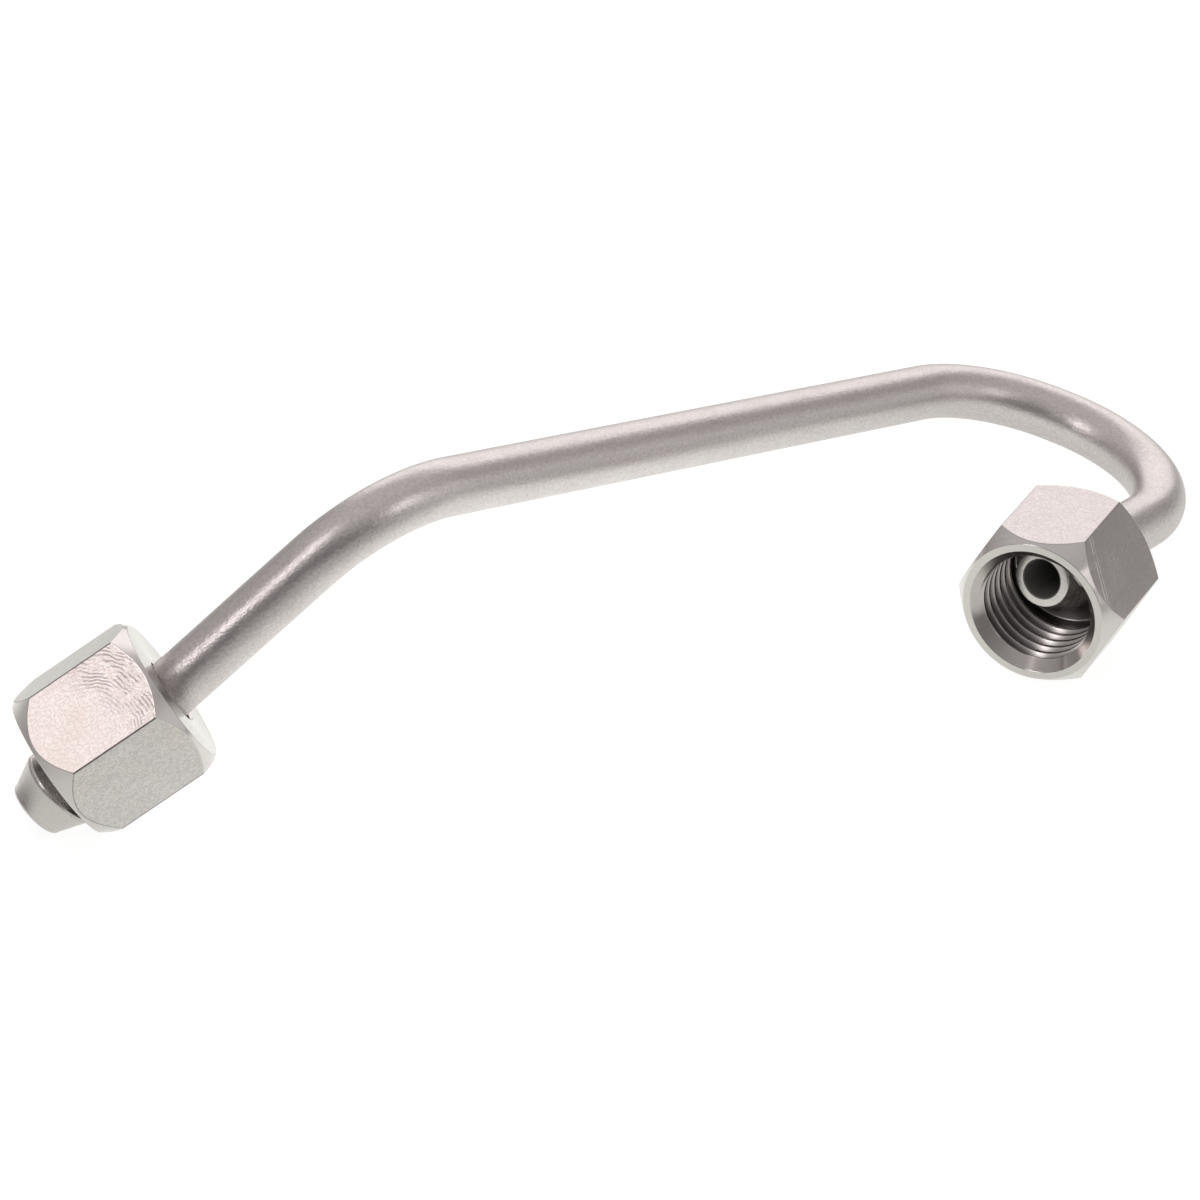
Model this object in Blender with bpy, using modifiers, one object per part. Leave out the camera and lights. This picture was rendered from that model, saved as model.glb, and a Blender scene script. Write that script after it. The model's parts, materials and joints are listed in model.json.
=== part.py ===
"""Fuel feed line: a bent steel tube with a formed sealing head on each end and two loose union nuts.

The tube is drawn as a tube bender makes it, from a bending list of straight legs, bends and turns of
the bending plane. It is one piece with its two heads, which are upset on its ends. Each union nut is
trapped on its leg by the head, and hangs tipped on the tube as far as the hole in its back lets it.
The whole line lies on a flat surface, on its left head, its return bend and its right nut.

Metres, +Z up. The origin is at the bottom centre of the line's box.
"""

import math

import bmesh
import bpy
from mathutils import Euler, Matrix, Vector

MM = 0.001

# Tube: 6.35 mm (a quarter of an inch) steel tube, bent on one former
TUBE_DIAMETER = 6.35 * MM
TUBE_WALL = 1.0 * MM
BEND_RADIUS = 15.875 * MM

# Bending list, from the left tip to the right tip
LEFT_LEG = 40.5 * MM
LEFT_BEND = math.radians(65.1)
LONG_RUN = 81.5 * MM
LONG_RUN_TURN = math.radians(-111.3)
MIDDLE_BEND = math.radians(68.3)
RETURN_STRAIGHT = 0.85 * MM
RETURN_TURN = math.radians(2.1)
RETURN_BEND = math.radians(101.35)
RIGHT_LEG = 25.4 * MM

# Sealing head: a flat ring at the tip, a rounding, a 24 degree cone, and a 45 degree shoulder
TIP_RING_WIDTH = 0.475 * MM
TIP_ROUND_STEP = 0.65 * MM
TIP_ROUND_LENGTH = 0.43 * MM
HEAD_STEP = 1.475 * MM
HEAD_CONE_ANGLE = math.radians(24.0)
HEAD_LAND = 0.35 * MM
SHOULDER_ANGLE = math.radians(45.0)

# Union nut, inside: the bore stands at the crests of the thread, which come to M14 x 1.5
NUT_HEAD_CLEARANCE = 1.538 * MM
THREAD_PITCH = 1.5 * MM
THREAD_END = 9.85 * MM
COUNTERSINK_STEP = 0.4 * MM
COUNTERSINK_DEPTH = 1.2 * MM
RELIEF_WIDTH = 0.7 * MM
RELIEF_STEP = 0.15 * MM
HOLE_CLEARANCE = 0.98 * MM
HOLE_LENGTH = 1.317 * MM
HOLE_CHAMFER = 0.3 * MM

# Union nut, outside: the wall over the thread makes it 17 mm across flats
NUT_WALL = 1.5 * MM
MOUTH_FACE_INSET = 0.25 * MM
MOUTH_CHAMFER_ANGLE = math.radians(30.0)
BACK_FACE_INSET = 0.35 * MM
BACK_CHAMFER_ANGLE = math.radians(45.0)

# The nuts hang loose: how far the left head stands out of its nut and the right one lies inside,
# which way each nut leans round its leg, and how far it is turned about itself
NUT_TOUCH_GAP = 0.3 * MM
LEFT_HEAD_STAND_OUT = 1.21 * MM
LEFT_NUT_LEAN_SIDE = math.radians(340.0)
LEFT_NUT_SPIN = math.radians(50.0)
RIGHT_HEAD_DEPTH = 5.12 * MM
RIGHT_NUT_LEAN_SIDE = math.radians(225.9)
RIGHT_NUT_SPIN = math.radians(1.0)

# How the line lies: the direction of the left leg, its rise, and the roll of the first bend
LIE_HEADING = math.radians(13.17)
LIE_CLIMB = math.radians(40.89)
LIE_ROLL = math.radians(-53.84)

# Fineness of the facets
TUBE_SIDES = 24
BEND_STEP = math.radians(6.0)
TURNED_SIDES = 60
TIP_ROUND_STEPS = 3
SHARP_EDGE = math.radians(25.0)
CUT_OVERRUN = 2.0 * MM

# Thread depth from crest to root, as a share of the pitch, in a metric thread
THREAD_DEPTH_SHARE = 0.5413

# Sizes that follow from those above
TUBE_RADIUS = TUBE_DIAMETER / 2
BORE_RADIUS = TUBE_RADIUS - TUBE_WALL
TIP_RING_RADIUS = BORE_RADIUS + TIP_RING_WIDTH
TIP_ROUND_RADIUS = TIP_RING_RADIUS + TIP_ROUND_STEP
HEAD_RADIUS = TUBE_RADIUS + HEAD_STEP
CONE_END = TIP_ROUND_LENGTH + (HEAD_RADIUS - TIP_ROUND_RADIUS) / math.tan(HEAD_CONE_ANGLE)
SHOULDER_START = CONE_END + HEAD_LAND
SHOULDER_END = SHOULDER_START + HEAD_STEP / math.tan(SHOULDER_ANGLE)
CREST_RADIUS = HEAD_RADIUS + NUT_HEAD_CLEARANCE
ROOT_RADIUS = CREST_RADIUS + THREAD_DEPTH_SHARE * THREAD_PITCH
COUNTERSINK_RADIUS = ROOT_RADIUS + COUNTERSINK_STEP
RELIEF_RADIUS = ROOT_RADIUS + RELIEF_STEP
HOLE_RADIUS = (TUBE_DIAMETER + HOLE_CLEARANCE) / 2
SEAT_START = THREAD_END + RELIEF_WIDTH
SEAT_END = SEAT_START + (CREST_RADIUS - HOLE_RADIUS) / math.tan(SHOULDER_ANGLE)
HOLE_MIDDLE = SEAT_END + HOLE_LENGTH / 2
NUT_LENGTH = SEAT_END + HOLE_LENGTH + HOLE_CHAMFER
FLAT_RADIUS = ROOT_RADIUS + NUT_WALL
CORNER_RADIUS = FLAT_RADIUS / math.cos(math.pi / 6)
MOUTH_RADIUS = FLAT_RADIUS - MOUTH_FACE_INSET
BACK_RADIUS = FLAT_RADIUS - BACK_FACE_INSET


def new_collection(name):
    """Return a new collection of this name in the scene."""
    collection = bpy.data.collections.new(name)
    bpy.context.scene.collection.children.link(collection)
    return collection


def new_object(name, data, collection):
    """Return a new object that holds this data, in this collection."""
    obj = bpy.data.objects.new(name, data)
    collection.objects.link(obj)
    return obj


def steel(name, colour, roughness):
    """Return a plain stainless steel material."""
    material = bpy.data.materials.new(name)
    material.use_nodes = True
    shader = material.node_tree.nodes["Principled BSDF"]
    shader.inputs["Base Color"].default_value = (*colour, 1.0)
    shader.inputs["Metallic"].default_value = 1.0
    shader.inputs["Roughness"].default_value = roughness
    return material


def arc_steps(angle):
    """Return how many straight facets a bend of this angle is drawn with."""
    return max(2, math.ceil(angle / BEND_STEP))


class Bender:
    """A tube bender's feed: a place, the tube's direction, and the axis that the next bend turns on."""

    def __init__(self):
        self.place = Vector((0, 0, 0))
        self.direction = Vector((1, 0, 0))
        self.bend_axis = Vector((0, 0, 1))
        self.route = [self.place.copy()]

    def feed(self, length):
        """Push a straight length through."""
        self.place = self.place + self.direction * length
        self.route.append(self.place.copy())

    def turn(self, angle):
        """Turn the tube about itself, so that the next bend lies in another plane."""
        self.bend_axis = Matrix.Rotation(angle, 3, self.direction) @ self.bend_axis

    def bend(self, angle, radius):
        """Bend the tube round the former."""
        centre = self.place + self.bend_axis.cross(self.direction) * radius
        spoke = self.place - centre
        steps = arc_steps(angle)
        for step in range(1, steps + 1):
            turned = Matrix.Rotation(angle * step / steps, 3, self.bend_axis)
            self.route.append(centre + turned @ spoke)
        self.place = self.route[-1].copy()
        self.direction = Matrix.Rotation(angle, 3, self.bend_axis) @ self.direction


def bent_line():
    """Run the bending list. Return the route and, for each tip, its place, inward way and bend axis."""
    bender = Bender()
    left_end = (bender.place.copy(), bender.direction.copy(), bender.bend_axis.copy())
    bender.feed(LEFT_LEG)
    bender.bend(LEFT_BEND, BEND_RADIUS)
    bender.feed(LONG_RUN)
    bender.turn(LONG_RUN_TURN)
    bender.bend(MIDDLE_BEND, BEND_RADIUS)
    bender.feed(RETURN_STRAIGHT)
    bender.turn(RETURN_TURN)
    bender.bend(RETURN_BEND, BEND_RADIUS)
    bender.feed(RIGHT_LEG)
    right_end = (bender.place.copy(), -bender.direction, bender.bend_axis.copy())
    return bender.route, left_end, right_end


def head_profile():
    """Return the head's outside as (distance from the tip, radius), from the tip inward."""
    profile = []
    for step in range(TIP_ROUND_STEPS + 1):
        angle = math.pi / 2 * step / TIP_ROUND_STEPS
        along = TIP_ROUND_LENGTH * (1 - math.cos(angle))
        profile.append((along, TIP_RING_RADIUS + TIP_ROUND_STEP * math.sin(angle)))
    profile.append((CONE_END, HEAD_RADIUS))
    profile.append((SHOULDER_START, HEAD_RADIUS))
    profile.append((SHOULDER_END, TUBE_RADIUS))
    return profile


def swept_rod(name, stations, collection):
    """Sweep a round rod along (place, radius) stations and return it as a closed mesh object."""
    curve = bpy.data.curves.new(name, "CURVE")
    curve.dimensions = "3D"
    curve.bevel_depth = TUBE_RADIUS
    curve.bevel_resolution = (TUBE_SIDES - 4) // 2
    curve.use_fill_caps = True
    curve.twist_mode = "MINIMUM"
    spline = curve.splines.new("POLY")
    spline.points.add(len(stations) - 1)
    for point, (place, radius) in zip(spline.points, stations):
        point.co = (*place, 1.0)
        point.radius = radius / TUBE_RADIUS
    guide = new_object(name + "_route", curve, collection)
    evaluated = guide.evaluated_get(bpy.context.evaluated_depsgraph_get())
    mesh = bpy.data.meshes.new_from_object(evaluated)
    mesh.name = name
    welded = bmesh.new()
    welded.from_mesh(mesh)
    bmesh.ops.remove_doubles(welded, verts=welded.verts, dist=0.00001)
    bmesh.ops.recalc_face_normals(welded, faces=welded.faces)
    welded.to_mesh(mesh)
    welded.free()
    rod = new_object(name, mesh, collection)
    rod.matrix_world = guide.matrix_world.copy()
    bpy.data.objects.remove(guide)
    return rod


def turned_body(name, profile, collection):
    """Turn a closed (height, radius) profile about Z. It runs down its outer side, top to bottom."""
    mesh = bpy.data.meshes.new(name)
    points = [(radius, 0, height) for height, radius in profile]
    edges = [(index, index + 1) for index in range(len(points) - 1)]
    mesh.from_pydata(points, edges, [])
    body = new_object(name, mesh, collection)
    screw = body.modifiers.new("Turn", "SCREW")
    screw.axis = "Z"
    screw.steps = TURNED_SIDES
    screw.render_steps = TURNED_SIDES
    screw.use_merge_vertices = True
    screw.merge_threshold = 0.00001
    return body


def hide_cutter(cutter):
    """Show a cutter as wire only, and keep it out of renders."""
    cutter.hide_render = True
    cutter.display_type = "WIRE"


def add_boolean(obj, operation, cutter):
    """Join or cut an object with another one."""
    modifier = obj.modifiers.new(cutter.name, "BOOLEAN")
    modifier.operation = operation
    modifier.solver = "EXACT"
    modifier.object = cutter


def build_tube(route, left_end, right_end, parts, cutters, material):
    """Make the bent tube with its two heads, and bore it through from tip to tip."""
    left_tip, left_way, _ = left_end
    right_tip, right_way, _ = right_end
    profile = head_profile()
    stations = [(left_tip + left_way * along, radius) for along, radius in profile]
    stations += [(place, TUBE_RADIUS) for place in route[1:-1]]
    stations += [(right_tip + right_way * along, radius) for along, radius in reversed(profile)]
    tube = swept_rod("feed_tube", stations, parts)

    bore_route = [left_tip - left_way * CUT_OVERRUN] + route[1:-1] + [right_tip - right_way * CUT_OVERRUN]
    bore = swept_rod("tube_bore", [(place, BORE_RADIUS) for place in bore_route], cutters)
    hide_cutter(bore)
    add_boolean(tube, "DIFFERENCE", bore)
    finish_part(tube, material)
    return tube


def nut_outline():
    """Return the turned outline that chamfers the hexagon at both ends, from the back to the mouth."""
    clear = CORNER_RADIUS + CUT_OVERRUN
    back_drop = (clear - BACK_RADIUS) / math.tan(BACK_CHAMFER_ANGLE)
    mouth_rise = (clear - MOUTH_RADIUS) / math.tan(MOUTH_CHAMFER_ANGLE)
    return [
        (NUT_LENGTH, 0),
        (NUT_LENGTH, BACK_RADIUS),
        (NUT_LENGTH - back_drop, clear),
        (mouth_rise, clear),
        (0, MOUTH_RADIUS),
        (0, 0),
    ]


def nut_bore_profile():
    """Return the nut's inside from the back hole to the countersunk mouth, run out past both faces."""
    hole_flare = HOLE_RADIUS + HOLE_CHAMFER + CUT_OVERRUN
    sink_slope = (COUNTERSINK_RADIUS - CREST_RADIUS) / COUNTERSINK_DEPTH
    return [
        (NUT_LENGTH + CUT_OVERRUN, 0),
        (NUT_LENGTH + CUT_OVERRUN, hole_flare),
        (NUT_LENGTH - HOLE_CHAMFER, HOLE_RADIUS),
        (SEAT_END, HOLE_RADIUS),
        (SEAT_START, CREST_RADIUS),
        (SEAT_START, RELIEF_RADIUS),
        (THREAD_END, RELIEF_RADIUS),
        (THREAD_END, CREST_RADIUS),
        (COUNTERSINK_DEPTH, CREST_RADIUS),
        (-CUT_OVERRUN, COUNTERSINK_RADIUS + CUT_OVERRUN * sink_slope),
        (-CUT_OVERRUN, 0),
    ]


def lean_that_fills(opening, half_length):
    """Return how far a tube leans in an opening before it touches the opening's edges.

    Leaning by an angle a, it takes up radius / cos(a) + half_length * tan(a) on each side of the
    middle. That is set equal to the room which the opening leaves, and solved for the angle.
    """
    room = opening - NUT_TOUCH_GAP
    reach = math.hypot(room, half_length)
    return math.acos(TUBE_RADIUS / reach) - math.atan2(half_length, room)


def lean_on_tube():
    """Return how far a loose nut tips: until its hole or the end of its thread meets the tube."""
    in_hole = lean_that_fills(HOLE_RADIUS, HOLE_LENGTH / 2)
    in_thread = lean_that_fills(CREST_RADIUS, HOLE_MIDDLE - COUNTERSINK_DEPTH)
    return min(in_hole, in_thread)


def nut_place(end, mouth_place, lean_side, spin):
    """Return the matrix of a nut whose mouth crosses its leg at this distance from the tip.

    The nut's own Z runs from its mouth to its back, and the leg passes through the middle of its hole.
    """
    tip, way, bend_axis = end
    leg = Matrix((bend_axis, way.cross(bend_axis), way)).transposed().to_4x4()
    pivot = Matrix.Translation(tip + way * (mouth_place + HOLE_MIDDLE / math.cos(lean_on_tube())))
    lean = Matrix.Rotation(lean_side, 4, "Z") @ Matrix.Rotation(lean_on_tube(), 4, "X")
    turned = Matrix.Rotation(spin, 4, "Z")
    return pivot @ leg @ lean @ turned @ Matrix.Translation((0, 0, -HOLE_MIDDLE))


def build_nut(name, matrix, parts, cutters, material):
    """Make one union nut: hexagon bar, chamfered at both ends, then bored and countersunk."""
    bpy.ops.mesh.primitive_cylinder_add(
        vertices=6,
        radius=CORNER_RADIUS,
        depth=NUT_LENGTH,
    )
    nut = bpy.context.object
    nut.name = name
    nut.data.name = name
    nut.data.transform(Matrix.Translation((0, 0, NUT_LENGTH / 2)))
    for collection in nut.users_collection:
        collection.objects.unlink(nut)
    parts.objects.link(nut)

    outline = turned_body(name + "_outline", nut_outline(), cutters)
    bore = turned_body(name + "_bore", nut_bore_profile(), cutters)
    for cutter, operation in ((outline, "INTERSECT"), (bore, "DIFFERENCE")):
        cutter.parent = nut
        hide_cutter(cutter)
        add_boolean(nut, operation, cutter)
    nut.matrix_world = matrix
    finish_part(nut, material)
    return nut


def finish_part(obj, material):
    """Give a part its material, and smooth its round faces but not its edges."""
    obj.data.materials.clear()
    obj.data.materials.append(material)
    obj.data.shade_smooth()
    obj.data.set_sharp_from_angle(angle=SHARP_EDGE)


def lay_down(frame, pieces):
    """Turn the line to its lying pose and set it on the ground, centred over the origin."""
    frame.rotation_euler = Euler((LIE_ROLL, -LIE_CLIMB, LIE_HEADING), "XYZ")
    bpy.context.view_layer.update()
    depsgraph = bpy.context.evaluated_depsgraph_get()
    corners = []
    for piece in pieces:
        evaluated = piece.evaluated_get(depsgraph)
        corners += [evaluated.matrix_world @ vertex.co for vertex in evaluated.data.vertices]
    low = [min(corner[axis] for corner in corners) for axis in range(3)]
    high = [max(corner[axis] for corner in corners) for axis in range(3)]
    frame.location = (-(low[0] + high[0]) / 2, -(low[1] + high[1]) / 2, -low[2])
    bpy.context.view_layer.update()


def build_feed_line():
    """Build the whole line."""
    for obj in list(bpy.data.objects):
        bpy.data.objects.remove(obj)
    parts = new_collection("fuel_feed_line")
    cutters = new_collection("cutters")

    tube_steel = steel("satin_tube_steel", (0.62, 0.60, 0.58), 0.38)
    left_steel = steel("left_nut_steel", (0.66, 0.63, 0.61), 0.30)
    right_steel = steel("right_nut_steel", (0.66, 0.63, 0.61), 0.30)

    route, left_end, right_end = bent_line()
    left_mouth = SHOULDER_START + LEFT_HEAD_STAND_OUT
    right_mouth = -RIGHT_HEAD_DEPTH
    left_matrix = nut_place(left_end, left_mouth, LEFT_NUT_LEAN_SIDE, LEFT_NUT_SPIN)
    right_matrix = nut_place(right_end, right_mouth, RIGHT_NUT_LEAN_SIDE, RIGHT_NUT_SPIN)
    pieces = [
        build_tube(route, left_end, right_end, parts, cutters, tube_steel),
        build_nut("left_union_nut", left_matrix, parts, cutters, left_steel),
        build_nut("right_union_nut", right_matrix, parts, cutters, right_steel),
    ]

    frame = new_object("feed_line_frame", None, parts)
    for obj in pieces + [obj for obj in cutters.objects if obj.parent is None]:
        obj.parent = frame
    lay_down(frame, pieces)


build_feed_line()
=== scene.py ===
# %% [markdown]
# # Fuel feed line
#
# A rigid fuel line: one steel tube, bent three times, with a cone-shaped sealing head pressed up on
# each end, and a loose hexagon nut behind each head. The lesson lays each piece over the plain solid
# of the loaded frame, from its own named sizes, and then gives it the finish of machined steel.

import json

import bmesh
import bpy
import numpy as np
from mathutils import Matrix, Vector


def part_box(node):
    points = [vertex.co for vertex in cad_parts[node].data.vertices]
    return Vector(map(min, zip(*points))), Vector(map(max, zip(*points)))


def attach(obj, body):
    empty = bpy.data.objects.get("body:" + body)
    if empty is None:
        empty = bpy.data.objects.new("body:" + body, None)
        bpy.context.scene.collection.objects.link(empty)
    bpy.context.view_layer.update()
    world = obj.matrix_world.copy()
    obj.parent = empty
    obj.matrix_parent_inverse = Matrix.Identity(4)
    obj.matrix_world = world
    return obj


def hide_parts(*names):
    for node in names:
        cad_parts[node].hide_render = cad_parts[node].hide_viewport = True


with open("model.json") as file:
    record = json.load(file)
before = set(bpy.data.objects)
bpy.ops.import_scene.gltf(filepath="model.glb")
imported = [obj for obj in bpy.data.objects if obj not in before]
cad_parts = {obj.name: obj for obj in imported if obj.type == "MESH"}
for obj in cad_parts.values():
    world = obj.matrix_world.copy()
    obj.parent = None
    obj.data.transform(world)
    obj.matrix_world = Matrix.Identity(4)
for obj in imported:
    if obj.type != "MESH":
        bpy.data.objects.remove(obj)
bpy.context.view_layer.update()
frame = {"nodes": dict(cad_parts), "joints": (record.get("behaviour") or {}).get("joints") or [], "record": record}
MM = 0.001
print("frame pieces:", sorted(frame["nodes"]))

# %% [markdown]
# ## One helper for rounded edges
#
# No machined edge is perfectly sharp: a tool or a deburring wheel leaves it a few hundredths of a
# millimetre round, and that thin round is what catches the light as a bright line. A Bevel modifier
# could add it, but the profiles here are exact lists of corners, so each corner is rounded before
# the surface is made. Smooth shading would spread the round over the whole face beside it, so a
# guard point lies close to each side of the round and keeps the shading there.

# %% Rounded profile corners
EDGE_ROUND = 0.06
GUARD = 0.03


def unit(vectors):
    """Each vector divided by its own length."""
    return vectors / np.linalg.norm(vectors, axis=-1, keepdims=True)


def rounded(corners, size=EDGE_ROUND, guard=GUARD):
    """A closed profile, five points for each corner.

    Corner C is left at A = C - size * way in, and met again at B = C + size * way out. The middle of
    the round is the quadratic Bezier point (A + 2 C + B) / 4. The guards lie outside A and B.
    """
    way_in = unit(corners - np.roll(corners, 1, axis=0))
    way_out = unit(np.roll(corners, -1, axis=0) - corners)
    leave = corners - size * way_in
    meet = corners + size * way_out
    middle = (leave + 2 * corners + meet) / 4
    five = [leave - guard * way_in, leave, middle, meet, meet + guard * way_out]
    points = np.stack(five, axis=1)
    return points.reshape(-1, *corners.shape[1:])


print("one rounded corner has", len(rounded(np.array([[0.0, 0], [1, 0], [1, 1]]))) // 3, "points")

# %% [markdown]
# ## From a grid of points to a mesh
#
# Every surface below is a function of two parameters: how far along a profile, and how far round.
# The points make a table of rows and columns, and each four neighbours make one face. The last
# column lies on the first one and the last row on the first, so that merging them closes the skin.

# %% Grid mesh
MERGE_DISTANCE = 0.0007


def grid_skin(name, points, turning, place, zones, corner=None):
    """A closed skin from a (rows, columns, 3) table of points in millimetres.

    Face (i, j) joins the points (i, j), (i, j+1), (i+1, j+1) and (i+1, j), so with columns running
    round and rows running along, its front is on the left of the rows' way. turning is the UV table,
    place a table of the piece's own straightened coordinates, and zones the material of each row.
    corner, if given, is the weight of a painted shade that darkens the colour: 1 on a hexagon's
    corner lines, less on its mouth's arches and 0 elsewhere.
    """
    rows, columns = points.shape[:2]
    index = np.arange(rows * columns).reshape(rows, columns)
    corners = [index[:-1, :-1], index[:-1, 1:], index[1:, 1:], index[1:, :-1]]
    quads = np.stack(corners, axis=-1).reshape(-1)
    faces = len(quads) // 4
    mesh = bpy.data.meshes.new(name)
    mesh.vertices.add(rows * columns)
    mesh.vertices.foreach_set("co", (points * MM).astype(np.float32).reshape(-1))
    mesh.loops.add(len(quads))
    mesh.loops.foreach_set("vertex_index", quads.astype(np.int32))
    mesh.polygons.add(faces)
    mesh.polygons.foreach_set("loop_start", np.arange(0, 4 * faces, 4, dtype=np.int32))
    face_zones = np.repeat(zones[:rows - 1], columns - 1)
    mesh.polygons.foreach_set("material_index", face_zones.astype(np.int32))
    mesh.update(calc_edges=True)
    uv = mesh.uv_layers.new(name="turning")
    uv.data.foreach_set("uv", turning.reshape(-1, 2)[quads].astype(np.float32).reshape(-1))
    own = mesh.attributes.new("own_place", "FLOAT_VECTOR", "POINT")
    own.data.foreach_set("vector", place.astype(np.float32).reshape(-1))
    if corner is not None:
        lines = mesh.attributes.new("corner", "FLOAT", "POINT")
        lines.data.foreach_set("value", corner.astype(np.float32).reshape(-1))
    closed = bmesh.new()
    closed.from_mesh(mesh)
    bmesh.ops.remove_doubles(closed, verts=closed.verts, dist=MERGE_DISTANCE * MM)
    closed.to_mesh(mesh)
    open_edges = sum(1 for edge in closed.edges if not edge.is_manifold)
    volume = closed.calc_volume(signed=True)
    closed.free()
    mesh.shade_smooth()
    skin = bpy.data.objects.new(name, mesh)
    bpy.context.scene.collection.objects.link(skin)
    print(f"{name}: {len(mesh.polygons)} faces, {open_edges} open edges, {volume * 1e9:.0f} mm3")
    return skin

# %% [markdown]
# ## The bent tube
#
# A tube bender works from a list: push so much tube through, turn it about itself, bend it by so
# many degrees round a former. Sweeping a circle along a curve with Blender's bevel would make the
# same tube, but a function of the distance along the tube gives the exact place of every ring,
# and also the straightened tube, on which the finish is drawn lengthways.

# %% The bending list, in millimetres and degrees
TUBE_RADIUS = 3.175
BORE_RADIUS = 2.175
BEND_RADIUS = 15.875
BENDING = [
    ("feed", 40.5),
    ("bend", 65.1),
    ("feed", 81.5),
    ("turn", -111.3),
    ("bend", 68.3),
    ("feed", 0.85),
    ("turn", 2.1),
    ("bend", 101.35),
    ("feed", 25.4),
]


def turned(vector, axis, angle):
    """Vectors turned about unit axes: v cos a + (axis x v) sin a + axis (axis . v) (1 - cos a)."""
    angle = np.asarray(angle, float)[..., None]
    across = np.cross(axis, vector)
    unmoved = axis * np.sum(axis * vector, axis=-1, keepdims=True)
    return vector * np.cos(angle) + across * np.sin(angle) + unmoved * (1 - np.cos(angle))


def run_bending(bending):
    """The route's straights and bends, and its whole length.

    Each one has the distance at which it starts, its curvature, and the place, the way, the bend
    axis and the two spokes there.
    """
    place, distance = np.zeros(3), 0.0
    way, bend_axis = np.array([1.0, 0, 0]), np.array([0, 0, 1.0])
    side, upper = np.array([0, 1.0, 0]), np.array([0, 0, 1.0])
    pieces = []
    for action, amount in bending:
        if action == "turn":
            bend_axis = turned(bend_axis, way, np.radians(amount))
            continue
        curvature = 1 / BEND_RADIUS if action == "bend" else 0.0
        length = np.radians(amount) * BEND_RADIUS if action == "bend" else amount
        pieces.append((distance, curvature, place, way, bend_axis, side, upper))
        angle = curvature * length
        inward = np.cross(bend_axis, way)
        if curvature:
            place = place + (way * np.sin(angle) + inward * (1 - np.cos(angle))) * BEND_RADIUS
        else:
            place = place + way * length
        way, side, upper = (turned(vector, bend_axis, angle) for vector in (way, side, upper))
        distance += length
    return [np.array(column, float) for column in zip(*pieces)], distance


ROUTE, TUBE_LENGTH = run_bending(BENDING)
print(f"the tube is {TUBE_LENGTH:.1f} mm long, straightened")


def along_route(distance):
    """The route's centre and its two spokes at each distance from the left tip.

    On a bend of curvature k, after the angle a = k * distance, the centre has moved by
    way * sin(a) / k + inward * (1 - cos(a)) / k, and the spokes have turned by a about the bend axis.
    """
    starts, curvature, place, way, bend_axis, side, upper = ROUTE
    piece = np.clip(np.searchsorted(starts, distance, side="right") - 1, 0, len(starts) - 1)
    run = (distance - starts[piece])[:, None]
    bend = curvature[piece][:, None]
    angle = bend * run
    safe = np.where(bend > 0, bend, 1.0)
    inward = np.cross(bend_axis[piece], way[piece])
    curved = way[piece] * np.sin(angle) / safe + inward * (1 - np.cos(angle)) / safe
    centre = place[piece] + np.where(bend > 0, curved, way[piece] * run)
    spokes = [turned(spoke[piece], bend_axis[piece], angle[:, 0]) for spoke in (side, upper)]
    return centre, spokes[0], spokes[1]

# %% [markdown]
# ## The sealing heads
#
# The end of the tube is upset in a die: the metal swells into a cone that seals in the port, with a
# small land behind it and a 45 degree shoulder that the nut pushes on. Its profile is a list of
# (distance from the tip, radius). Its first and last corners lie up the bore and down the tube, and
# only give their neighbours a direction. The same rings then carry on down the tube, round the other
# head and back through the bore, so one closed skin makes the whole piece.

# %% The tube's stations
TIP_RING = 3.05
TIP_ROUND = 3.38
TIP_ROUND_LENGTH = 0.43
HEAD_RADIUS = 4.65
CONE_END = 3.462
SHOULDER_START = 3.812
SHOULDER_END = 5.287
UP_THE_BORE = 4.0
DOWN_THE_TUBE = 9.0
END_GAP = 1.0
RING_STEP = 0.42
BORE_STEP = 1.2
TUBE_COLUMNS = 112

quarter = np.linspace(0, np.pi / 2, 7)
tip_round = np.stack([
    TIP_ROUND_LENGTH * (1 - np.cos(quarter)),
    TIP_RING + (TIP_ROUND - TIP_RING) * np.sin(quarter),
], axis=1)
head_corners = np.array([
    (UP_THE_BORE, BORE_RADIUS), (0.0, BORE_RADIUS), (0.0, TIP_RING), (CONE_END, HEAD_RADIUS),
    (SHOULDER_START, HEAD_RADIUS), (SHOULDER_END, TUBE_RADIUS), (DOWN_THE_TUBE, TUBE_RADIUS),
])
head_rounds = np.array([0.05, 0.14, 0.05, 0.15, 0.15, 0.35, 0.05])[:, None]
soft_head = rounded(head_corners, head_rounds)
bore_lip, cone_on = soft_head[5:10], soft_head[15:30]
left_head = np.concatenate([bore_lip, tip_round, cone_on])
right_head = np.stack([TUBE_LENGTH - left_head[::-1, 0], left_head[::-1, 1]], axis=1)

middle = np.arange(SHOULDER_END + END_GAP, TUBE_LENGTH - SHOULDER_END - END_GAP, RING_STEP)
middle = np.stack([middle, np.full(len(middle), TUBE_RADIUS)], axis=1)
bore = np.arange(TUBE_LENGTH - END_GAP, END_GAP, -BORE_STEP)
bore = np.stack([bore, np.full(len(bore), BORE_RADIUS)], axis=1)
stations = np.concatenate([left_head, middle, right_head, bore, left_head[:1]])
print(len(stations), "rings,", TUBE_COLUMNS, "points round")

# %% [markdown]
# The line lies as it comes to rest, on its left head, the return bend and the right nut. The bending
# list starts along X, so the finished tube is turned by the three lying angles. Then it is moved until
# its high corner, which the return bend sets, is that of the solid it stands for.

# %% The tube's skin
LIE_HEADING = 13.17
LIE_CLIMB = 40.89
LIE_ROLL = -53.84
TUBE_SKIN, BORE_SKIN, HEAD_SKIN = 0, 1, 2


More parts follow.
